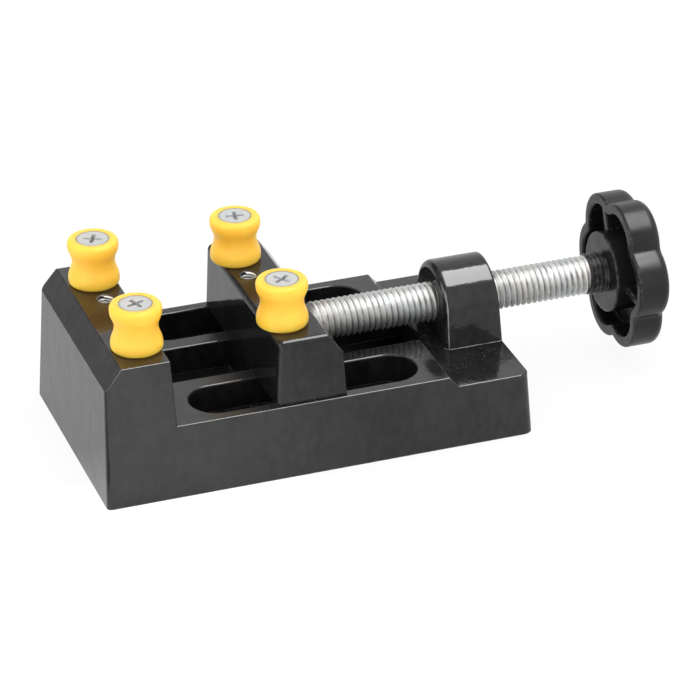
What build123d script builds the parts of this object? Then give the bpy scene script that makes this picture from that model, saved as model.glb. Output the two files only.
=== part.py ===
from build123d import *
import math
import os

# Mini table vise, in millimetres and degrees.
# Origin under the middle of the whole length as photographed, +X towards the knob, +Y to the back, +Z up.

# Casting of the base: fixed jaw, bed with its rails, and the lower foot at the screw end
base_length = 109.0
base_width = 61.8
jaw_height = 35.45
bed_height = 18.55
foot_height = 15.9
side_draft = 5.0
fixed_end_draft = 2.3
foot_end_draft = 3.0
fixed_jaw_length = 18.3
clamp_face_draft = 2.6
fixed_chamfer_run = 4.15
fixed_chamfer_rise = 5.25
bed_length = 68.9
ramp_length = 2.3
fixed_corner_radius = 1.2
foot_corner_radius = 2.8
edge_radius = 0.45

# Openings of the bed and the hollow under it
channel_width = 16.3
channel_past_bed = 0.8
slot_length = 57.5
slot_width = 13.5
slot_inset = 4.7
slot_from_face = 6.15
bed_thickness = 7.5
side_wall = 4.0
end_wall = 5.0
pocket_radius = 3.0

# Arched boss that the screw runs in
screw_height = 24.1
boss_radius = 10.3
boss_foot_width = 22.6
boss_from_ramp = 3.65
boss_near_radius = 1.6
boss_far_radius = 0.7

# Moving jaw, with the tongue that runs in the channel
jaw_opening = 25.15
moving_jaw_length = 17.85
moving_jaw_inset = 2.7
moving_back_draft = 4.4
moving_chamfer_run = 3.75
moving_chamfer_rise = 5.2
moving_corner_radius = 1.2
moving_lip_radius = 1.4
slide_clearance = 0.1
tongue_length = 13.15
tongue_clearance = 0.15

# Lead screw: thread, journal in the moving jaw and plain end in the knob
thread_radius = 4.93
thread_pitch = 1.5
thread_depth_share = 0.58
crest_share = 0.14
root_share = 0.22
thread_clearance = 0.3
screw_reach = 73.05
journal_radius = 4.0
journal_length = 13.0
journal_clearance = 0.08
shoulder_gap = 0.15
groove_radius = 3.0
groove_width = 3.4
groove_from_shoulder = 8.2
screw_end_radius = 3.5
screw_end_length = 12.5
screw_chamfer = 0.5

# Star knob, hollow on the side of the vise
lobe_count = 6
lobe_radius = 9.85
lobe_circle_radius = 10.1
lobe_turn = 9.5
valley_radius = 1.5
knob_depth = 8.5
knob_edge_radius = 2.3
knob_wall = 2.7
knob_floor = 3.5
hub_radius = 10.2
hub_height = 2.1
collar_radius = 5.25
collar_length = 4.7
collar_ring_count = 4
collar_ring_depth = 0.25
rim_radius = 0.5
rib_count = 3
rib_turn = -6.0
rib_thickness = 1.6
rib_outer_radius = 16.4
rib_recess = 0.7

# Pegs and their countersunk screws
peg_inset = 10.2
spare_hole_spacing = 16.0
fixed_peg_setback = 6.1
moving_peg_setback = 5.05
peg_height = 11.7
peg_flange_radius = 6.3
peg_waist_radius = 5.42
peg_foot_radius = 5.6
peg_face_radius = 5.0
peg_bore_radius = 2.2
peg_lower_share = 0.11
peg_waist_shares = (0.4, 0.6)
peg_upper_share = 0.865
screw_nominal_radius = 2.0
screw_radial_play = 0.05
head_radius = 4.1
head_recess = 0.1
peg_screw_length = 20.0
hole_depth = 12.0
hole_chamfer_radius = 2.25
hole_chamfer_angle = 90.0
cross_length = 4.6
cross_width = 1.0
cross_depth = 1.5
cross_taper = 15.0
cross_turns = (20.0, 65.0, 35.0, 80.0)

# Keeper plate under the rails, its two screws and washers, and the grub screw in the journal groove
keeper_length = 11.9
keeper_width = 24.0
keeper_thickness = 2.6
keeper_clearance = 0.15
keeper_setback = 0.6
keeper_hole_spacing = 10.4
keeper_hole_radius = 2.25
keeper_hole_setback = 4.4
keeper_hole_depth = 8.0
keeper_screw_length = 10.0
keeper_head_radius = 3.6
keeper_head_height = 2.4
keeper_cross_length = 3.6
keeper_cross_depth = 1.4
washer_radius = 3.5
washer_thickness = 0.8
grub_radius = 2.5
grub_clearance = 0.6
grub_socket_width = 2.5
grub_socket_depth = 2.6
dog_radius = 1.25
dog_play = 0.2
dog_length = 1.5

overrun = 6.0
touch = 0.01


def run(angle, height):
    return math.tan(math.radians(angle)) * height


def level(part, height):
    return part.edges().filter_by_position(Axis.Z, height - touch, height + touch)


def save(built, name):
    built.part.label = name
    export_step(built.part, f"parts/{name}.step")


os.makedirs("parts", exist_ok=True)

knob_overall = collar_length + hub_height + knob_depth
jaws_overall = fixed_jaw_length + jaw_opening + moving_jaw_length
overall_length = jaws_overall + shoulder_gap + screw_reach + knob_overall
left_end = -overall_length / 2
right_end = left_end + base_length
base_middle = left_end + base_length / 2
fixed_face = left_end + fixed_jaw_length
fixed_face_top = fixed_face - run(clamp_face_draft, jaw_height - bed_height)
fixed_chamfer_base = jaw_height - fixed_chamfer_rise
fixed_side = left_end + run(fixed_end_draft, fixed_chamfer_base)
bed_end = fixed_face + bed_length
ramp_end = bed_end + ramp_length
foot_end = right_end - run(foot_end_draft, foot_height)
half_top = base_width / 2 - run(side_draft, jaw_height)
bed_underside = bed_height - bed_thickness
slot_centre = fixed_face + slot_from_face + slot_length / 2
slot_spacing = base_width - 2 * slot_inset - slot_width
moving_jaw_width = base_width - 2 * moving_jaw_inset
peg_spacing = moving_jaw_width - 2 * peg_inset
boss_start = ramp_end + boss_from_ramp
boss_top = screw_height + boss_radius
boss_end = foot_end - run(foot_end_draft, boss_top - foot_height)
boss_root = foot_height - 2 * edge_radius
boss_corner_distance = math.hypot(boss_foot_width / 2, screw_height - foot_height)
boss_corner_angle = math.acos(boss_radius / boss_corner_distance)
boss_side_angle = boss_corner_angle - math.atan2(screw_height - foot_height, boss_foot_width / 2)
boss_side_half = boss_radius * math.cos(boss_side_angle)
boss_side_top = screw_height + boss_radius * math.sin(boss_side_angle)
boss_root_half = boss_foot_width / 2 + math.tan(boss_side_angle) * (foot_height - boss_root)
moving_face = fixed_face + jaw_opening
fixed_peg_x = fixed_face - fixed_peg_setback
moving_peg_x = moving_face + moving_peg_setback

base_side_points = (
    (left_end, 0),
    (fixed_side, fixed_chamfer_base),
    (fixed_side + fixed_chamfer_run, jaw_height),
    (fixed_face_top, jaw_height),
    (fixed_face, bed_height),
    (bed_end, bed_height),
    (ramp_end, foot_height),
    (foot_end, foot_height),
    (right_end, 0),
)
base_end_points = (
    (-base_width / 2, 0),
    (base_width / 2, 0),
    (half_top, jaw_height),
    (-half_top, jaw_height),
)
boss_side_points = (
    (boss_start, boss_root),
    (foot_end + run(foot_end_draft, foot_height - boss_root), boss_root),
    (boss_end, boss_top),
    (boss_start, boss_top),
)
boss_arch_points = (
    (-boss_root_half, boss_root),
    (boss_root_half, boss_root),
    (boss_side_half, boss_side_top),
    (-boss_side_half, boss_side_top),
)

with BuildPart() as boss:
    with BuildSketch(Plane.XZ):
        Polygon(*boss_side_points, align=None)
    extrude(amount=boss_root_half, both=True)
    with BuildSketch(Plane.YZ.offset(boss_start)):
        Polygon(*boss_arch_points, align=None)
        with Locations((0, screw_height)):
            Circle(boss_radius)
    extrude(amount=right_end - boss_start, mode=Mode.INTERSECT)

with BuildPart() as base:
    with BuildSketch(Plane.XZ):
        Polygon(*base_side_points, align=None)
    extrude(amount=base_width / 2, both=True)
    with BuildSketch(Plane.YZ):
        Polygon(*base_end_points, align=None)
    extrude(amount=overall_length / 2, both=True, mode=Mode.INTERSECT)
    fillet(base.faces().sort_by(Axis.X)[0].edges().sort_by(Axis.Z)[1:-1], fixed_corner_radius)
    fillet(base.faces().sort_by(Axis.X)[-1].edges().sort_by(Axis.Z)[1:-1], foot_corner_radius)
    fillet(level(base, foot_height).sort_by(Axis.X)[1:], edge_radius)
    clamp_edges = base.edges().filter_by_position(Axis.X, fixed_face_top, fixed_face - touch)
    fillet(clamp_edges.filter_by_position(Axis.Z, bed_height, jaw_height - touch), edge_radius)
    fillet(level(base, jaw_height), edge_radius)

    add(boss.part)
    boss_near_face = base.faces().filter_by_position(Axis.X, boss_start - touch, boss_start + touch)
    fillet(boss_near_face.edges().sort_by(Axis.Z)[1:], boss_near_radius)
    end_edges = base.faces().sort_by(Axis.X)[-1].edges()
    fillet(end_edges.filter_by_position(Axis.Z, foot_height + touch, boss_top + touch), boss_far_radius)

    with BuildSketch(Plane.XY.offset(bed_height)):
        with Locations((fixed_face, 0)):
            Rectangle(bed_length + channel_past_bed, channel_width, align=(Align.MIN, Align.CENTER))
        with Locations((slot_centre, 0)):
            with GridLocations(0, slot_spacing, 1, 2):
                SlotOverall(slot_length, slot_width)
    extrude(amount=-bed_height, mode=Mode.SUBTRACT)
    rail_edges = level(base, bed_height)
    fillet(rail_edges.filter_by(Axis.X) + rail_edges.filter_by(GeomType.CIRCLE), edge_radius)

    with BuildSketch(Plane.XY):
        with Locations((base_middle, 0)):
            RectangleRounded(base_length - 2 * end_wall, base_width - 2 * side_wall, pocket_radius)
    extrude(amount=bed_underside, mode=Mode.SUBTRACT)
    with BuildSketch(Plane.YZ.offset(boss_start - overrun)):
        with Locations((0, screw_height)):
            Circle(thread_radius + thread_clearance)
    extrude(amount=right_end - boss_start + overrun, mode=Mode.SUBTRACT)
    with Locations((fixed_peg_x, 0, jaw_height)):
        with GridLocations(0, peg_spacing, 1, 2):
            Hole(screw_nominal_radius, hole_depth)
        with GridLocations(0, spare_hole_spacing, 1, 2):
            CounterSinkHole(screw_nominal_radius, hole_chamfer_radius, hole_depth, hole_chamfer_angle)
save(base, "base")

jaw_bottom = bed_height + slide_clearance
moving_back = moving_face + moving_jaw_length
moving_chamfer_base = jaw_height - moving_chamfer_rise
moving_shoulder = moving_back - run(moving_back_draft, moving_chamfer_base - jaw_bottom)
moving_chamfer_top = moving_shoulder - moving_chamfer_run
moving_side_points = (
    (moving_face, jaw_bottom),
    (moving_back, jaw_bottom),
    (moving_shoulder, moving_chamfer_base),
    (moving_chamfer_top, jaw_height),
    (moving_face + run(clamp_face_draft, jaw_height - jaw_bottom), jaw_height),
)
tongue_bottom = bed_underside - keeper_clearance
tongue_width = channel_width - 2 * tongue_clearance
thread_start = moving_back + shoulder_gap
journal_end = thread_start - journal_length
groove_x = thread_start - groove_from_shoulder
keeper_hole_x = moving_face + keeper_hole_setback

with BuildPart() as moving_jaw:
    with BuildSketch(Plane.XZ):
        Polygon(*moving_side_points, align=None)
    extrude(amount=moving_jaw_width / 2, both=True)
    clamp_face_edges = moving_jaw.faces().sort_by(Axis.X)[0].edges().sort_by(Axis.Y)
    fillet([clamp_face_edges[0], clamp_face_edges[-1]], moving_corner_radius)
    front_lip = level(moving_jaw, jaw_height).sort_by(Axis.X)[0]
    fillet(front_lip, moving_lip_radius)
    jaw_ends = moving_jaw.faces().filter_by(Axis.Y)
    back_edges = jaw_ends.edges().filter_by_position(Axis.X, moving_chamfer_top, moving_back)
    fillet(back_edges.filter_by_position(Axis.Z, jaw_bottom + touch, jaw_height), edge_radius)
    with BuildSketch(Plane.XY.offset(jaw_bottom)):
        with Locations((moving_face, 0)):
            Rectangle(tongue_length, tongue_width, align=(Align.MIN, Align.CENTER))
    extrude(amount=tongue_bottom - jaw_bottom)
    with BuildSketch(Plane.YZ.offset(journal_end - screw_chamfer)):
        with Locations((0, screw_height)):
            Circle(journal_radius + journal_clearance)
    extrude(amount=journal_length + overrun, mode=Mode.SUBTRACT)
    with BuildSketch(Plane.XY.offset(tongue_bottom)):
        with Locations((groove_x, 0)):
            Circle(grub_radius)
    extrude(amount=screw_height - tongue_bottom, mode=Mode.SUBTRACT)
    with BuildSketch(Plane.XY.offset(tongue_bottom)):
        with Locations((keeper_hole_x, 0)):
            with GridLocations(0, keeper_hole_spacing, 1, 2):
                Circle(screw_nominal_radius)
    extrude(amount=keeper_hole_depth, mode=Mode.SUBTRACT)
    with Locations((moving_peg_x, 0, jaw_height)):
        with GridLocations(0, peg_spacing, 1, 2):
            Hole(screw_nominal_radius, hole_depth)
        with GridLocations(0, spare_hole_spacing, 1, 2):
            CounterSinkHole(screw_nominal_radius, hole_chamfer_radius, hole_depth, hole_chamfer_angle)
save(moving_jaw, "moving_jaw")

thread_end = thread_start + screw_reach
root_radius = thread_radius - thread_depth_share * thread_pitch
crest_half = crest_share * thread_pitch / 2
root_half = root_share * thread_pitch / 2
turn_count = math.floor(screw_reach / thread_pitch)
screw_plane = Plane((0, 0, screw_height), x_dir=(1, 0, 0), z_dir=(0, -1, 0))
screw_axis = Axis((0, 0, screw_height), (1, 0, 0))

thread_points = []
for turn in range(turn_count):
    middle = thread_end - (turn_count - turn) * thread_pitch + thread_pitch / 2
    thread_points.append((middle - thread_pitch / 2 + root_half, root_radius))
    thread_points.append((middle - crest_half, thread_radius))
    thread_points.append((middle + crest_half, thread_radius))
    thread_points.append((middle + thread_pitch / 2 - root_half, root_radius))

screw_points = [
    (journal_end, 0),
    (journal_end, journal_radius - screw_chamfer),
    (journal_end + screw_chamfer, journal_radius),
    (groove_x - groove_width / 2, journal_radius),
    (groove_x - groove_width / 2, groove_radius),
    (groove_x + groove_width / 2, groove_radius),
    (groove_x + groove_width / 2, journal_radius),
    (thread_start, journal_radius),
    (thread_start, root_radius),
    *thread_points,
    (thread_end, root_radius),
    (thread_end, screw_end_radius),
    (thread_end + screw_end_length, screw_end_radius),
    (thread_end + screw_end_length, 0),
]

with BuildPart() as lead_screw:
    with BuildSketch(screw_plane):
        Polygon(*screw_points, align=None)
    revolve(axis=screw_axis)
save(lead_screw, "lead_screw")

hub_face = thread_end + collar_length
knob_rim = hub_face + hub_height
knob_back = knob_rim + knob_depth
knob_floor_x = knob_back - knob_floor
rib_top = knob_rim + rib_recess
rib_middle = (hub_radius + rib_outer_radius) / 2
ring_pitch = collar_length / collar_ring_count

collar_points = [(hub_face, 0), (thread_end, 0)]
for ring in range(collar_ring_count):
    ring_start = thread_end + ring * ring_pitch
    collar_points.append((ring_start, collar_radius - collar_ring_depth))
    collar_points.append((ring_start + ring_pitch / 2, collar_radius))
collar_points.append((hub_face, collar_radius - collar_ring_depth))

with BuildPart() as star_knob:
    with BuildSketch(Plane.YZ.offset(knob_rim)) as star:
        with Locations((0, screw_height)):
            Circle(lobe_circle_radius)
            with PolarLocations(lobe_circle_radius, lobe_count, start_angle=180 - lobe_turn):
                Circle(lobe_radius)
        fillet(star.vertices(), valley_radius)
    extrude(amount=knob_depth)
    fillet(star_knob.faces().sort_by(Axis.X)[-1].edges(), knob_edge_radius)
    with BuildSketch(Plane.YZ.offset(knob_rim)):
        add(star.sketch_local.faces())
        offset(amount=-knob_wall, kind=Kind.INTERSECTION)
    extrude(amount=knob_depth - knob_floor, mode=Mode.SUBTRACT)
    fillet(star_knob.faces().sort_by(Axis.X)[0].edges(), rim_radius)
    with BuildSketch(Plane.YZ.offset(hub_face)):
        with Locations((0, screw_height)):
            Circle(hub_radius)
    extrude(amount=knob_floor_x - hub_face)
    with BuildSketch(screw_plane):
        Polygon(*collar_points, align=None)
    revolve(axis=screw_axis)
    with BuildSketch(Plane.YZ.offset(rib_top)):
        with Locations((0, screw_height)):
            with PolarLocations(rib_middle, rib_count, start_angle=180 - rib_turn):
                Rectangle(rib_outer_radius - hub_radius + rib_thickness, rib_thickness)
    extrude(amount=knob_floor_x - rib_top)
    with BuildSketch(Plane.YZ.offset(thread_end)):
        with Locations((0, screw_height)):
            Circle(screw_end_radius)
    extrude(amount=screw_end_length, mode=Mode.SUBTRACT)
save(star_knob, "star_knob")

peg_places = {
    "fixed_front": (fixed_peg_x, -peg_spacing / 2),
    "fixed_rear": (fixed_peg_x, peg_spacing / 2),
    "moving_front": (moving_peg_x, -peg_spacing / 2),
    "moving_rear": (moving_peg_x, peg_spacing / 2),
}
peg_sink_radius = head_radius + head_recess
peg_sink_floor = peg_height + peg_bore_radius - peg_sink_radius
peg_lower = (peg_flange_radius, peg_lower_share * peg_height)
peg_waists = [(peg_waist_radius, share * peg_height) for share in peg_waist_shares]
peg_upper = (peg_flange_radius, peg_upper_share * peg_height)
shank_radius = screw_nominal_radius - screw_radial_play

for (place, (peg_x, peg_y)), cross_turn in zip(peg_places.items(), cross_turns):
    peg_plane = Plane((peg_x, peg_y, jaw_height), x_dir=(1, 0, 0), z_dir=(0, -1, 0))
    peg_axis = Axis((peg_x, peg_y, jaw_height), (0, 0, 1))
    with BuildPart() as peg:
        with BuildSketch(peg_plane):
            with BuildLine():
                Line((peg_bore_radius, 0), (peg_foot_radius, 0))
                Spline((peg_foot_radius, 0), peg_lower, tangents=[(1, 0), (0, 1)])
                Spline(peg_lower, *peg_waists, peg_upper, tangents=[(0, 1), (0, 1)])
                Spline(peg_upper, (peg_face_radius, peg_height), tangents=[(0, 1), (-1, 0)])
                Line((peg_face_radius, peg_height), (peg_sink_radius, peg_height))
                Line((peg_sink_radius, peg_height), (peg_bore_radius, peg_sink_floor))
                Line((peg_bore_radius, peg_sink_floor), (peg_bore_radius, 0))
            make_face()
        revolve(axis=peg_axis)
    save(peg, f"peg_{place}")

    head_top = peg_height - head_recess
    screw_tip = head_top - peg_screw_length
    peg_screw_points = (
        (0, head_top),
        (head_radius, head_top),
        (shank_radius, head_top + shank_radius - head_radius),
        (shank_radius, screw_tip + screw_chamfer),
        (shank_radius - screw_chamfer, screw_tip),
        (0, screw_tip),
    )
    with BuildPart() as peg_screw:
        with BuildSketch(peg_plane):
            Polygon(*peg_screw_points, align=None)
        revolve(axis=peg_axis)
        with BuildSketch(Plane((peg_x, peg_y, jaw_height + head_top))):
            Rectangle(cross_length, cross_width, rotation=cross_turn)
            Rectangle(cross_width, cross_length, rotation=cross_turn)
        extrude(amount=-cross_depth, taper=cross_taper, mode=Mode.SUBTRACT)
    save(peg_screw, f"peg_screw_{place}")

keeper_bottom = tongue_bottom - keeper_thickness
keeper_start = moving_face + keeper_setback
with BuildPart() as keeper_plate:
    with BuildSketch(Plane.XY.offset(keeper_bottom)):
        with Locations((keeper_start, 0)):
            Rectangle(keeper_length, keeper_width, align=(Align.MIN, Align.CENTER))
        with Locations((keeper_hole_x, 0)):
            with GridLocations(0, keeper_hole_spacing, 1, 2):
                Circle(keeper_hole_radius, mode=Mode.SUBTRACT)
        with Locations((groove_x, 0)):
            Circle(grub_radius + grub_clearance, mode=Mode.SUBTRACT)
    extrude(amount=keeper_thickness)
save(keeper_plate, "keeper_plate")

washer_bottom = keeper_bottom - washer_thickness
for place, keeper_y in (("front", -keeper_hole_spacing / 2), ("rear", keeper_hole_spacing / 2)):
    with BuildPart() as keeper_washer:
        with BuildSketch(Plane((keeper_hole_x, keeper_y, washer_bottom))):
            Circle(washer_radius)
            Circle(keeper_hole_radius, mode=Mode.SUBTRACT)
        extrude(amount=washer_thickness)
    save(keeper_washer, f"keeper_washer_{place}")

    with BuildPart() as keeper_screw:
        with BuildSketch(Plane((keeper_hole_x, keeper_y, washer_bottom))):
            Circle(shank_radius)
        extrude(amount=keeper_screw_length)
        with BuildSketch(Plane((keeper_hole_x, keeper_y, washer_bottom))):
            Circle(keeper_head_radius)
        extrude(amount=-keeper_head_height)
        chamfer(keeper_screw.faces().sort_by(Axis.Z)[0].edges(), screw_chamfer)
        with BuildSketch(Plane((keeper_hole_x, keeper_y, washer_bottom - keeper_head_height))):
            Rectangle(keeper_cross_length, cross_width)
            Rectangle(cross_width, keeper_cross_length)
        extrude(amount=keeper_cross_depth, mode=Mode.SUBTRACT)
    save(keeper_screw, f"keeper_screw_{place}")

dog_tip = screw_height - groove_radius - dog_play
grub_top = dog_tip - dog_length
grub_bottom = tongue_bottom
with BuildPart() as retaining_screw:
    with BuildSketch(Plane((groove_x, 0, grub_bottom))):
        Circle(grub_radius - screw_radial_play)
    extrude(amount=grub_top - grub_bottom)
    with BuildSketch(Plane((groove_x, 0, grub_top))):
        Circle(dog_radius)
    extrude(amount=dog_length)
    with BuildSketch(Plane((groove_x, 0, grub_bottom))):
        RegularPolygon(grub_socket_width / 2, 6, major_radius=False)
    extrude(amount=grub_socket_depth, mode=Mode.SUBTRACT)
save(retaining_screw, "retaining_screw")
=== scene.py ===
import math

import bmesh
import bpy
from mathutils import Matrix, Vector


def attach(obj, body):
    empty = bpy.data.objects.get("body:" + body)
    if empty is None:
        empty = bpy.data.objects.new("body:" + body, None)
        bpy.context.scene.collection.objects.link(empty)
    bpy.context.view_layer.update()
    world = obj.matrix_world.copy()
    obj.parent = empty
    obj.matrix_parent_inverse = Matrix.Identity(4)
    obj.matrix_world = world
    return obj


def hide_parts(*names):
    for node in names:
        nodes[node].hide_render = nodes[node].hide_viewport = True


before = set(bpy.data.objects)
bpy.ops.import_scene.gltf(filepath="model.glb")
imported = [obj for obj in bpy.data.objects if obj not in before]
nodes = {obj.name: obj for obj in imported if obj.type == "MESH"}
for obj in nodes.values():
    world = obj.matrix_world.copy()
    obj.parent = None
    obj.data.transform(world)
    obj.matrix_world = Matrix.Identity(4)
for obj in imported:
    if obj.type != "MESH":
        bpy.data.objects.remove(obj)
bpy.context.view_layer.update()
MM = 0.001

# Sizes in millimetres, in the frame of the CAD model
SCREW_Z = 24.1
THREAD = (-13.45, 59.6)
THREAD_R, THREAD_ROOT, PITCH = 4.93, 4.06, 1.5
JOURNAL_END, JOURNAL_R, JOURNAL_CHAMFER = -26.45, 4.0, 0.5
GROOVE, GROOVE_R = (-23.35, -19.95), 3.0
SCREW_END, SHANK_R = 72.1, 3.5
JAW_TOP, BED = 35.45, 18.55
FIXED_PEG_X, MOVING_PEG_X, PEG_Y, SPARE_Y = -62.7, -26.4, 18.0, 8.0
HEAD_R, HEAD_TOP = 4.1, 47.05
BASE_MIDDLE, BASE_LENGTH, BASE_WIDTH = -20.4, 109.0, 61.8

# Shape and fineness of the threads; lengths in millimetres
ROOT_SHARE, FLANK_SHARE, SHARPNESS = 0.16, 0.70, 0.72
THREAD_POINTS, THREAD_STEPS, LATHE_STEPS = 12, 64, 48
TAP_PITCH, TAP_STEPS, TAP_TURNS = 0.7, 40, 14
TAP_OUT, TAP_IN, TAP_ROOT_HALF, TAP_CREST_HALF = 1.995, 1.68, 0.33, 0.07
TAP_DEPTH = 0.45

# Colours, linear
PAINT_DARK, PAINT_HAZY = (0.0050, 0.0050, 0.0054), (0.0145, 0.0143, 0.0142)
# The pale of the casting's edges is partly bare metal and partly painted highlight.
DUST, BARE_METAL_AND_HIGHLIGHT = (0.11, 0.108, 0.105), (0.26, 0.255, 0.25)
KNOB_DARK, KNOB_PALE, KNOB_SCUFF = (0.004, 0.004, 0.0045), (0.010, 0.010, 0.0105), (0.10, 0.10, 0.10)
PEG_DEEP, PEG_PALE = (0.99, 0.50, 0.051), (1.0, 0.54, 0.062)
ZINC_COOL, ZINC_WARM = (0.95, 0.98, 1.0), (1.0, 0.98, 0.94)
# Painted shade: the dark of a thread's roots, and of the cross and rim of a screw head.
THREAD_ROOT_SHADE, HEAD_SHADE = (0.07, 0.07, 0.075), (0.10, 0.105, 0.105)
# The second floor colour is a painted shadow under the base.
FLOOR_PALE, FLOOR_SHADOW = (0.86, 0.86, 0.86), (0.02, 0.02, 0.02)
WHITE = (1.0, 1.0, 1.0, 1.0)

# Light of the studio: metres, watts and strengths
FLOOR_HALF, FLOOR_GLOW, FLOOR_SHARE = 6.0, 0.75, 0.86
POOL_LEVEL, FLAG_LEVEL = 0.8, 1.2
STRIP_LEVEL, PANEL_LEVEL, PANEL_EDGE, DIM_SHARE = 4.0, 10.5, 0.03, 0.85
FILL_LEFT, FILL_RIGHT, FILL_FRONT = 1.55, 1.2, 1.25
LAMP_SIZE, LAMP_POWER, LAMP_PLACE, LAMP_TILT = 0.5, 0.6, (0.12, -0.06, 0.65), 10.0

# Camera at the angle of the photograph: degrees and millimetres
TURN, TILT, ROLL = -19.47, 28.47, -0.34
TARGET, DISTANCE = (-3.08, -0.43, 14.49), 932.0
SENSOR, LENS, NEAR = 36.0, 193.7, 50.0


def mm(*values):
    """Lengths in millimetres as metres."""
    return tuple(value * MM for value in values)


# Where the base's paint differs: dust on the foot, a strip under the screw that mirrors little as painted
# shade, a painted highlight line on the boss's arris, and the rails' tops
FOOT_X, FOOT_Z = mm(10.0, 14.0), mm(17.0, 18.0)
SHADE_STRIP_X, SHADE_STRIP_Y, SHADE_STRIP_Z = mm(12.5, 18.7, 0.3), mm(9.5, 10.5), mm(20.5, 21.5)
ARRIS_HIGHLIGHT_X, ARRIS_HIGHLIGHT_Y, ARRIS_HIGHLIGHT_Z = mm(19.1, 19.2, 0.12), mm(-8.5, -7.5), mm(16.0, 16.3)
TRACK_X, TRACK_Z = mm(-36.0, -30.0), mm(BED - 0.1, BED + 0.05, 0.02)
PAINT_LEVEL, SHADE_STRIP_LEVEL, TRACK_ROUGH = 0.5, 0.08, 0.22


# Node trees
class Nodes:
    """Short ways to add nodes to one tree."""

    def __init__(self, tree):
        self.tree = tree
        tree.nodes.clear()

    def node(self, kind, *inputs, **settings):
        n = self.tree.nodes.new("ShaderNode" + kind)
        for key, value in settings.items():
            setattr(n, key, value)
        for socket, value in zip(n.inputs, inputs):
            self.put(value, socket)
        return n

    def put(self, value, socket):
        if isinstance(value, bpy.types.NodeSocket):
            self.tree.links.new(value, socket)
        elif value is not None:
            socket.default_value = value

    def math(self, operation, a, b=None):
        return self.node("Math", a, b, operation=operation).outputs[0]

    def times(self, product, *others):
        for other in others:
            product = self.math("MULTIPLY", product, other)
        return product

    def span(self, value, low, high, to_low=0.0, to_high=1.0):
        return self.node("MapRange", value, low, high, to_low, to_high).outputs[0]

    def fall(self, value, low, high):
        """One up to low, falling to nothing at high."""
        return self.span(value, low, high, 1.0, 0.0)

    def band(self, value, low, high, edge):
        """One between low and high, fading to nothing over the edge on either side."""
        return self.times(self.span(value, low - edge, low), self.fall(value, high, high + edge))

    def mix(self, share, a, b):
        n = self.node("Mix", share, data_type="RGBA")
        for socket, value in ((n.inputs[6], a), (n.inputs[7], b)):
            self.put((*value, 1.0) if isinstance(value, tuple) else value, socket)
        return n.outputs[2]


class Shader(Nodes):
    """One node material round a principled shader."""

    def __init__(self, name, **values):
        self.material = bpy.data.materials.new(name)
        self.material.use_nodes = True
        super().__init__(self.material.node_tree)
        self.bsdf = self.node("BsdfPrincipled")
        self.node("OutputMaterial", self.bsdf.outputs[0])
        self.coord = self.node("TexCoord").outputs["Object"]
        self.axes = self.node("SeparateXYZ", self.coord).outputs
        self.set(**values)

    def noise(self, scale, detail=2.0, rough=0.5, stretch=None):
        coord = self.coord
        if stretch:
            mapping = self.node("Mapping", coord)
            mapping.inputs["Scale"].default_value = stretch
            coord = mapping.outputs[0]
        n = self.node("TexNoise", coord)
        for key, value in (("Scale", scale), ("Detail", detail), ("Roughness", rough)):
            n.inputs[key].default_value = value
        return n.outputs[0]

    def cells(self, scale):
        n = self.node("TexVoronoi", self.coord)
        n.inputs["Scale"].default_value = scale
        return n.outputs["Distance"]

    def bevel(self, radius):
        return self.node("Bevel", radius, samples=6).outputs[0]

    def edges(self, radius):
        """One along the edges and corners, falling to nothing on the faces beside them."""
        flat = self.node("NewGeometry").outputs["Normal"]
        turned = self.node("VectorMath", self.bevel(radius), flat, operation="DOT_PRODUCT")
        return self.fall(turned.outputs["Value"], 0.93, 0.995)

    def offset(self, axis, value):
        """How far a point lies to either side of a place on one axis, which is in millimetres."""
        return self.math("ABSOLUTE", self.math("SUBTRACT", self.axes[axis], value * MM))

    def radius(self, a, b):
        return self.math("SQRT", self.math("ADD", self.times(a, a), self.times(b, b)))

    def bump(self, height, strength, distance, normal):
        n = self.node("Bump")
        inputs = {"Strength": strength, "Distance": distance, "Height": height, "Normal": normal}
        for key, value in inputs.items():
            self.put(value, n.inputs[key])
        return n.outputs[0]

    def set(self, **values):
        for key, value in values.items():
            self.put(value, self.bsdf.inputs[key.replace("_", " ")])
        return self.material


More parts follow.
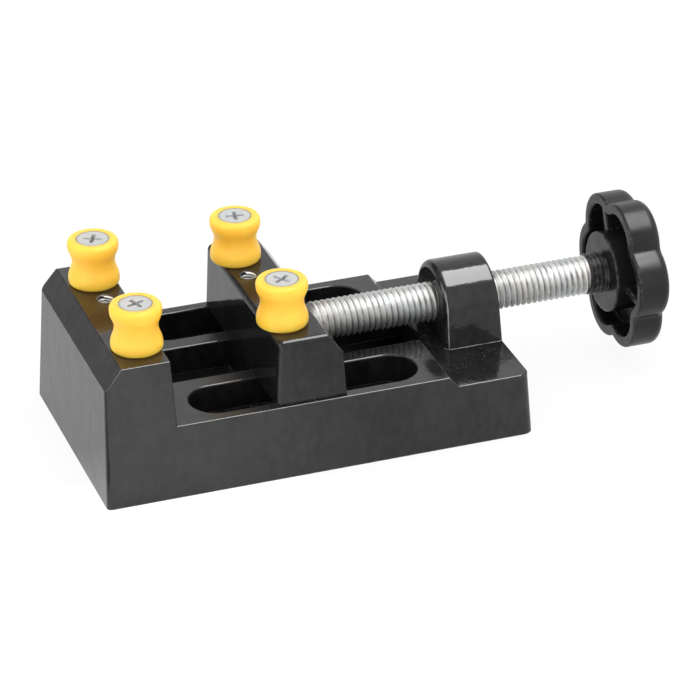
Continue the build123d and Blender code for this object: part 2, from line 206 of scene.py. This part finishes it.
# Materials
def casting_paint(name, level, wear_and_highlight, base=False):
    """Gloss black paint on a casting, hazy and dusty in patches, its edges pale, partly rubbed bare and
    partly with painted highlight lines.

    Level is how much it mirrors, the second number how pale its edges are, rubbed bare and painted as
    highlight, and base adds what only the base has.
    """
    s = Shader(name, IOR=1.5, Specular_IOR_Level=PAINT_LEVEL * level)
    x, y, z = s.axes
    facing = s.node("SeparateXYZ", s.node("NewGeometry").outputs["Normal"]).outputs[2]
    film = s.noise(520.0, 4.0, 0.6, (1.0, 1.0, 0.6))
    haze = s.math("ADD", film, s.span(s.noise(45.0, 3.0, 0.6), 0.3, 0.7, -0.16, 0.16))
    colour = s.mix(s.span(haze, 0.30, 0.70), PAINT_DARK, PAINT_HAZY)
    specks = s.times(s.fall(s.cells(420.0), 0.06, 0.12), s.span(s.noise(70.0), 0.50, 0.66))
    dust = s.times(specks, s.span(facing, 0.2, 0.8, 0.25, 1.0))
    # Pale edges: partly rubbed bare, partly a painted highlight along the edges.
    worn_and_highlight = s.times(s.edges(0.00035), s.span(s.noise(260.0, 3.0), 0.36, 0.60, 0.2 * wear_and_highlight, wear_and_highlight))
    gloss = s.span(s.noise(60.0, 5.0, 0.65), 0.3, 0.75, 0.06, 0.15)
    if base:
        settled = s.times(s.span(facing, 0.5, 0.95), s.span(x, *FOOT_X), s.fall(z, *FOOT_Z))
        grit = s.times(s.fall(s.cells(1000.0), 0.13, 0.22), s.span(s.noise(240.0), 0.42, 0.56))
        dust = s.math("MAXIMUM", dust, s.times(settled, grit))
        # Painted shade: a strip under the screw beside the boss mirrors almost nothing and loses its pale
        # edges.
        shade_strip = s.times(s.band(x, *SHADE_STRIP_X), s.fall(s.offset(1, 0.0), *SHADE_STRIP_Y), s.fall(z, *SHADE_STRIP_Z))
        # Painted highlight: a bright line down the boss's front arris.
        arris_highlight = s.times(s.band(x, *ARRIS_HIGHLIGHT_X), s.fall(y, *ARRIS_HIGHLIGHT_Y), s.span(z, *ARRIS_HIGHLIGHT_Z))
        arris_highlight = s.times(arris_highlight, s.span(s.noise(300.0), 0.3, 0.5, 0.5, 1.0))
        worn_and_highlight = s.math("MAXIMUM", s.times(worn_and_highlight, s.math("SUBTRACT", 1.0, shade_strip)), arris_highlight)
        track = s.times(s.band(z, *TRACK_Z), s.span(facing, 0.9, 0.99))
        gloss = s.math("ADD", gloss, s.times(track, s.span(x, *TRACK_X, TRACK_ROUGH, 0.0)))
        s.set(Specular_IOR_Level=s.span(shade_strip, 0.0, 1.0, PAINT_LEVEL * level, SHADE_STRIP_LEVEL))
    colour = s.mix(s.times(dust, 0.6), colour, DUST)
    colour = s.mix(worn_and_highlight, colour, BARE_METAL_AND_HIGHLIGHT)
    waves = s.bump(s.noise(130.0, 3.0, 0.55), 0.25, 0.0005, s.bevel(0.0002))
    peel = s.bump(s.noise(900.0), 0.10, 0.00012, waves)
    return s.set(Base_Color=colour, Roughness=gloss, Normal=peel)


def knob_plastic():
    """Black plastic, streaked along the screw's axis and scuffed on its edges."""
    s = Shader("knob_plastic", IOR=1.40)
    colour = s.mix(s.span(s.noise(90.0, 4.0, 0.6), 0.3, 0.7), KNOB_DARK, KNOB_PALE)
    scuffs = s.times(s.edges(0.0011), s.span(s.noise(650.0, 4.0, 0.65), 0.46, 0.62, 0.0, 0.7))
    colour = s.mix(scuffs, colour, KNOB_SCUFF)
    gloss = s.span(s.noise(300.0, 3.0, 0.6, (0.2, 1.0, 1.0)), 0.3, 0.7, 0.22, 0.38)
    grain = s.bump(s.noise(700.0, 4.0, 0.6), 0.20, 0.00015, s.bevel(0.0008))
    return s.set(Base_Color=colour, Roughness=gloss, Normal=grain)


def peg_plastic():
    """Yellow plastic that lets a little light through."""
    s = Shader("peg_plastic", IOR=1.46, Subsurface_Weight=0.9, Subsurface_Scale=1.0,
               Subsurface_Radius=(0.005, 0.0025, 0.001))
    cloud = s.noise(160.0, 3.0, 0.55)
    colour = s.mix(s.span(cloud, 0.35, 0.65), PEG_DEEP, PEG_PALE)
    gloss = s.span(cloud, 0.3, 0.7, 0.32, 0.45)
    grain = s.bump(s.noise(1400.0), 0.05, 0.00015, s.bevel(0.0002))
    return s.set(Base_Color=colour, Roughness=gloss, Normal=grain)


def zinc(name, tone, rough, part=None):
    """Zinc plating, darkened as painted shade in the grooves of a thread, or in the cross and round the rim
    of a head.
    """
    s = Shader(name, Metallic=1.0)
    fine = s.noise(1500.0)
    cool, warm = [tuple(tone * value for value in tint) for tint in (ZINC_COOL, ZINC_WARM)]
    colour = s.mix(s.span(s.noise(140.0, 3.0, 0.6), 0.35, 0.65), cool, warm)
    grain = s.bump(fine, 0.05, 0.00006, s.bevel(0.0001))
    gloss = s.span(fine, 0.3, 0.7, rough, rough + 0.12)
    if part == "thread":
        radius = s.radius(s.axes[1], s.offset(2, SCREW_Z))
        # Painted shade: darker towards the roots of the thread, broken up by noise.
        root_shade = s.span(radius, *mm(THREAD_ROOT, THREAD_ROOT + 0.35), 0.8, 0.0)
        root_shade = s.times(root_shade, s.span(s.noise(420.0, 3.0), 0.35, 0.65, 0.45, 1.0))
        colour = s.mix(root_shade, colour, THREAD_ROOT_SHADE)
        dents = s.noise(2000.0, stretch=(1.0, 0.6, 0.6))
        gloss = s.span(dents, 0.38, 0.62, rough - 0.02, rough + 0.16)
        grain = s.bump(dents, 0.55, 0.0001, grain)
    elif part == "head":
        along = s.math("MINIMUM", s.offset(0, FIXED_PEG_X), s.offset(0, MOVING_PEG_X))
        across = s.math("SUBTRACT", s.math("ABSOLUTE", s.axes[1]), PEG_Y * MM)
        # Painted shadow round the rim of the head, and painted shade down in its cross.
        rim = s.span(s.radius(along, across), *mm(HEAD_R - 0.5, HEAD_R - 0.1), 0.0, 0.7)
        recess_shade = s.span(s.axes[2], *mm(HEAD_TOP - 0.45, HEAD_TOP - 0.05), 0.08, 0.0)
        colour = s.mix(s.math("MAXIMUM", rim, recess_shade), colour, HEAD_SHADE)
    return s.set(Base_Color=colour, Roughness=gloss, Normal=grain)


paints = {
    "base": casting_paint("casting_paint", 1.0, 0.8, base=True),
    "moving_jaw": casting_paint("jaw_paint", 0.75, 0.3),
    "star_knob": knob_plastic(),
}
amber = peg_plastic()
plating = zinc("zinc_plating", 0.74, 0.38)
threaded = zinc("zinc_threaded", 0.75, 0.44, "thread")
heads = zinc("zinc_heads", 0.60, 0.38, "head")
for name, node in nodes.items():
    node.data.materials.clear()
    if name in paints:
        node.data.materials.append(paints[name])
    elif name.startswith("peg_screw"):
        node.data.materials.append(heads)
    else:
        node.data.materials.append(amber if name.startswith("peg_") else plating)


# Pieces
def piece(name, mesh, body, material):
    obj = bpy.data.objects.new(name, mesh)
    bpy.context.scene.collection.objects.link(obj)
    obj.data.materials.append(material)
    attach(obj, body)
    return obj


def finish_mesh(name, bm):
    """A smooth mesh in metres from one in millimetres."""
    bmesh.ops.recalc_face_normals(bm, faces=bm.faces)
    for face in bm.faces:
        face.smooth = True
    bmesh.ops.scale(bm, vec=(MM, MM, MM), verts=bm.verts)
    mesh = bpy.data.meshes.new(name)
    bm.to_mesh(mesh)
    bm.free()
    return mesh


def round_screw(bm, x, r, angle):
    """A point at a radius and an angle about the screw's axis."""
    return bm.verts.new((x, r * math.cos(angle), SCREW_Z + r * math.sin(angle)))


def lathe(bm, points):
    """A closed solid about the screw's axis from (x, radius) points that start and end on the axis."""
    rings = []
    for x, r in points:
        if r == 0:
            rings.append([bm.verts.new((x, 0, SCREW_Z))])
        else:
            turns = [2 * math.pi * i / LATHE_STEPS for i in range(LATHE_STEPS)]
            rings.append([round_screw(bm, x, r, angle) for angle in turns])
    for a, b in zip(rings, rings[1:]):
        for i in range(LATHE_STEPS):
            j = (i + 1) % LATHE_STEPS
            if len(a) == 1:
                bm.faces.new((a[0], b[j], b[i]))
            elif len(b) == 1:
                bm.faces.new((a[i], a[j], b[0]))
            else:
                bm.faces.new((a[i], a[j], b[j], b[i]))


def thread_profile():
    """Offsets along the axis as shares of the pitch, and radii of a rounded thread."""
    rows = []
    for i in range(THREAD_POINTS):
        share = i / THREAD_POINTS
        wave = 0.5 - 0.5 * math.cos(2 * math.pi * share)
        climb = abs(((share + 0.5) % 1.0) - 0.5) * 2
        flank = min(1.0, max(0.0, (climb - ROOT_SHARE) / FLANK_SHARE))
        height = SHARPNESS * flank + (1.0 - SHARPNESS) * wave
        rows.append((share, THREAD_ROOT + (THREAD_R - THREAD_ROOT) * height))
    return rows


def screw_mesh():
    """The lead screw: a true helix, cut off square at both ends, with its journal and its shank."""
    bm = bmesh.new()
    rows = thread_profile()
    turns = math.ceil((THREAD[1] - THREAD[0]) / PITCH) + 2
    grid = []
    for i in range(THREAD_STEPS * turns + 1):
        angle = 2 * math.pi * i / THREAD_STEPS
        start = THREAD[0] - PITCH + PITCH * i / THREAD_STEPS
        grid.append([round_screw(bm, start + PITCH * share, r, angle) for share, r in rows])
    for i in range(len(grid) - 1):
        for k in range(len(rows) - 1):
            bm.faces.new((grid[i][k], grid[i + 1][k], grid[i + 1][k + 1], grid[i][k + 1]))
        after = i + THREAD_STEPS
        if after + 1 < len(grid):
            bm.faces.new((grid[i][-1], grid[i + 1][-1], grid[after + 1][0], grid[after][0]))
    for x, sign in ((THREAD[0], -1), (THREAD[1], 1)):
        bmesh.ops.bisect_plane(bm, geom=bm.verts[:] + bm.edges[:] + bm.faces[:], plane_co=(x, 0, 0),
                               plane_no=(sign, 0, 0), clear_outer=True)
        rim = [e for e in bm.edges if e.is_boundary and all(abs(v.co.x - x) < 1e-4 for v in e.verts)]
        bmesh.ops.edgeloop_fill(bm, edges=rim)
    lathe(bm, [
        (JOURNAL_END, 0),
        (JOURNAL_END, JOURNAL_R - JOURNAL_CHAMFER),
        (JOURNAL_END + JOURNAL_CHAMFER, JOURNAL_R),
        (GROOVE[0], JOURNAL_R),
        (GROOVE[0], GROOVE_R),
        (GROOVE[1], GROOVE_R),
        (GROOVE[1], JOURNAL_R),
        (THREAD[0], JOURNAL_R),
        (THREAD[0], 0),
    ])
    lathe(bm, [(THREAD[1], 0), (THREAD[1], SHANK_R), (SCREW_END, SHANK_R), (SCREW_END, 0)])
    return finish_mesh("lead_screw_thread", bm)


def tap_mesh(x, y):
    """The ridge of an M4 x 0.7 thread down a tapped hole."""
    bm = bmesh.new()
    section = ((TAP_OUT, -TAP_ROOT_HALF), (TAP_IN, -TAP_CREST_HALF),
               (TAP_IN, TAP_CREST_HALF), (TAP_OUT, TAP_ROOT_HALF))
    lines = []
    for i in range(TAP_STEPS * TAP_TURNS + 1):
        angle = math.pi / 2 - 2 * math.pi * i / TAP_STEPS
        z = JAW_TOP - TAP_DEPTH - TAP_PITCH * i / TAP_STEPS
        across, along = math.cos(angle), math.sin(angle)
        lines.append([bm.verts.new((x + r * across, y + r * along, z + dz)) for r, dz in section])
    count = len(section)
    for a, b in zip(lines, lines[1:]):
        for k in range(count):
            m = (k + 1) % count
            bm.faces.new((a[k], a[m], b[m], b[k]))
    bm.faces.new(lines[0])
    bm.faces.new(reversed(lines[-1]))
    return finish_mesh("tap_thread", bm)


screw = piece("lead_screw_threaded", screw_mesh(), "screw", threaded)
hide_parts("lead_screw")
for jaw, body, x in (("fixed", "frame", FIXED_PEG_X), ("moving", "jaw", MOVING_PEG_X)):
    for side, y in (("front", -SPARE_Y), ("rear", SPARE_Y)):
        piece(f"tap_{jaw}_{side}", tap_mesh(x, y), body, plating)


# Floor and backdrop: white to the camera, uneven in reflections, plain and pale to the rest of the light,
# with a painted shadow under the base
def seen_rays(graph):
    path = graph.node("LightPath").outputs
    mirrored = graph.math("MAXIMUM", path["Is Glossy Ray"], path["Is Transmission Ray"])
    return path["Is Camera Ray"], mirrored


def floor_material():
    """Pale, with a painted shadow under the base, dark and without glow, and in reflections brighter in a
    pool and darker behind a flag.
    """
    material = bpy.data.materials.new("pale_floor")
    material.use_nodes = True
    g = Nodes(material.node_tree)
    camera_ray, mirrored = seen_rays(g)
    x, y = g.node("SeparateXYZ", g.node("NewGeometry").outputs["Position"]).outputs[:2]
    along = g.math("ABSOLUTE", g.math("SUBTRACT", x, BASE_MIDDLE * MM))
    inside_x = g.fall(along, *mm(BASE_LENGTH / 2 - 4, BASE_LENGTH / 2 - 1))
    inside_y = g.fall(g.math("ABSOLUTE", y), *mm(BASE_WIDTH / 2 - 4, BASE_WIDTH / 2 - 1))
    # Painted shadow: under the base the floor is dark and does not glow.
    under = g.times(inside_x, inside_y)
    pool = g.times(g.span(x, -0.045, 0.003, POOL_LEVEL, 0.0), g.fall(y, -0.05, 0.0))
    flag = g.times(g.span(x, -0.092, -0.082, FLAG_LEVEL, 0.0), g.fall(y, -0.036, -0.026),
                   g.span(y, -0.064, -0.054))
    glow = g.math("SUBTRACT", g.math("ADD", pool, FLOOR_GLOW), flag)
    glow = g.node("Emission", WHITE, g.math("MAXIMUM", glow, camera_ray))
    shade = g.node("BsdfDiffuse", g.mix(under, FLOOR_PALE, FLOOR_SHADOW))
    share = g.times(g.math("MAXIMUM", camera_ray, mirrored), g.span(under, 0.0, 1.0, FLOOR_SHARE, 0.0))
    surface = g.node("MixShader", share, shade.outputs[0], glow.outputs[0])
    g.node("OutputMaterial", surface.outputs[0])
    return material


def studio_world():
    """White to the camera, and in reflections a backdrop, a strip, a panel overhead and a dim corner."""
    world = bpy.data.worlds.new("studio")
    world.use_nodes = True
    g = Nodes(world.node_tree)
    camera_ray, mirrored = seen_rays(g)
    x, y, z = g.node("SeparateXYZ", g.node("TexCoord").outputs["Generated"]).outputs
    strip = g.times(g.span(x, -0.75, -0.63, STRIP_LEVEL, 0.0), g.band(z, 0.2, 0.55, 0.1),
                    g.fall(y, 0.0, 0.15))
    panel = g.times(g.band(x, 0.18, 0.46, PANEL_EDGE), g.band(y, -0.44, 0.31, PANEL_EDGE),
                    g.span(z, 0.5, 0.6, 0.0, PANEL_LEVEL))
    dim = g.times(g.span(x, -0.2, -0.05, DIM_SHARE, 0.0), g.span(y, 0.45, 0.6), g.span(z, 0.26, 0.38))
    backdrop = g.times(g.span(x, -0.6, 0.1, 0.5, 1.0), g.math("SUBTRACT", 1.0, dim))
    reflected = g.math("ADD", backdrop, g.math("ADD", strip, panel))
    fill = g.times(g.span(x, -1.0, 1.0, FILL_LEFT, FILL_RIGHT), g.span(y, -1.0, 0.2, FILL_FRONT, 1.0))
    soft = g.node("Background", WHITE, fill)
    white = g.node("Background", WHITE, g.math("MAXIMUM", reflected, camera_ray))
    share = g.math("MAXIMUM", camera_ray, mirrored)
    g.node("OutputWorld", g.node("MixShader", share, soft.outputs[0], white.outputs[0]).outputs[0])
    return world


scene = bpy.context.scene
grid = bmesh.new()
bmesh.ops.create_grid(grid, x_segments=1, y_segments=1, size=FLOOR_HALF)
floor_mesh = bpy.data.meshes.new("floor")
grid.to_mesh(floor_mesh)
grid.free()
floor = bpy.data.objects.new("floor", floor_mesh)
floor.data.materials.append(floor_material())
scene.collection.objects.link(floor)
scene.world = studio_world()

overhead = bpy.data.lights.new("overhead_box", "AREA")
overhead.shape = "RECTANGLE"
overhead.size, overhead.size_y = LAMP_SIZE, LAMP_SIZE
overhead.energy = LAMP_POWER
lamp = bpy.data.objects.new("overhead_box", overhead)
lamp.location = LAMP_PLACE
lamp.rotation_euler = (0.0, math.radians(LAMP_TILT), 0.0)
scene.collection.objects.link(lamp)

# Camera
turn, tilt, roll = math.radians(TURN), math.radians(TILT), math.radians(ROLL)
back = Vector((math.sin(turn) * math.cos(tilt), -math.cos(turn) * math.cos(tilt), math.sin(tilt)))
level = Vector((math.cos(turn), math.sin(turn), 0.0))
right = level * math.cos(roll) + back.cross(level) * math.sin(roll)
up = back.cross(right)
place = (Vector(TARGET) + back * DISTANCE) * MM
camera_data = bpy.data.cameras.new("camera")
camera_data.sensor_width = SENSOR
camera_data.lens = LENS
camera_data.clip_start = NEAR * MM
camera = bpy.data.objects.new("camera", camera_data)
camera.matrix_world = Matrix((
    (right.x, up.x, back.x, place.x),
    (right.y, up.y, back.y, place.y),
    (right.z, up.z, back.z, place.z),
    (0, 0, 0, 1),
))
scene.collection.objects.link(camera)
scene.camera = camera
scene.view_settings.view_transform = "Standard"
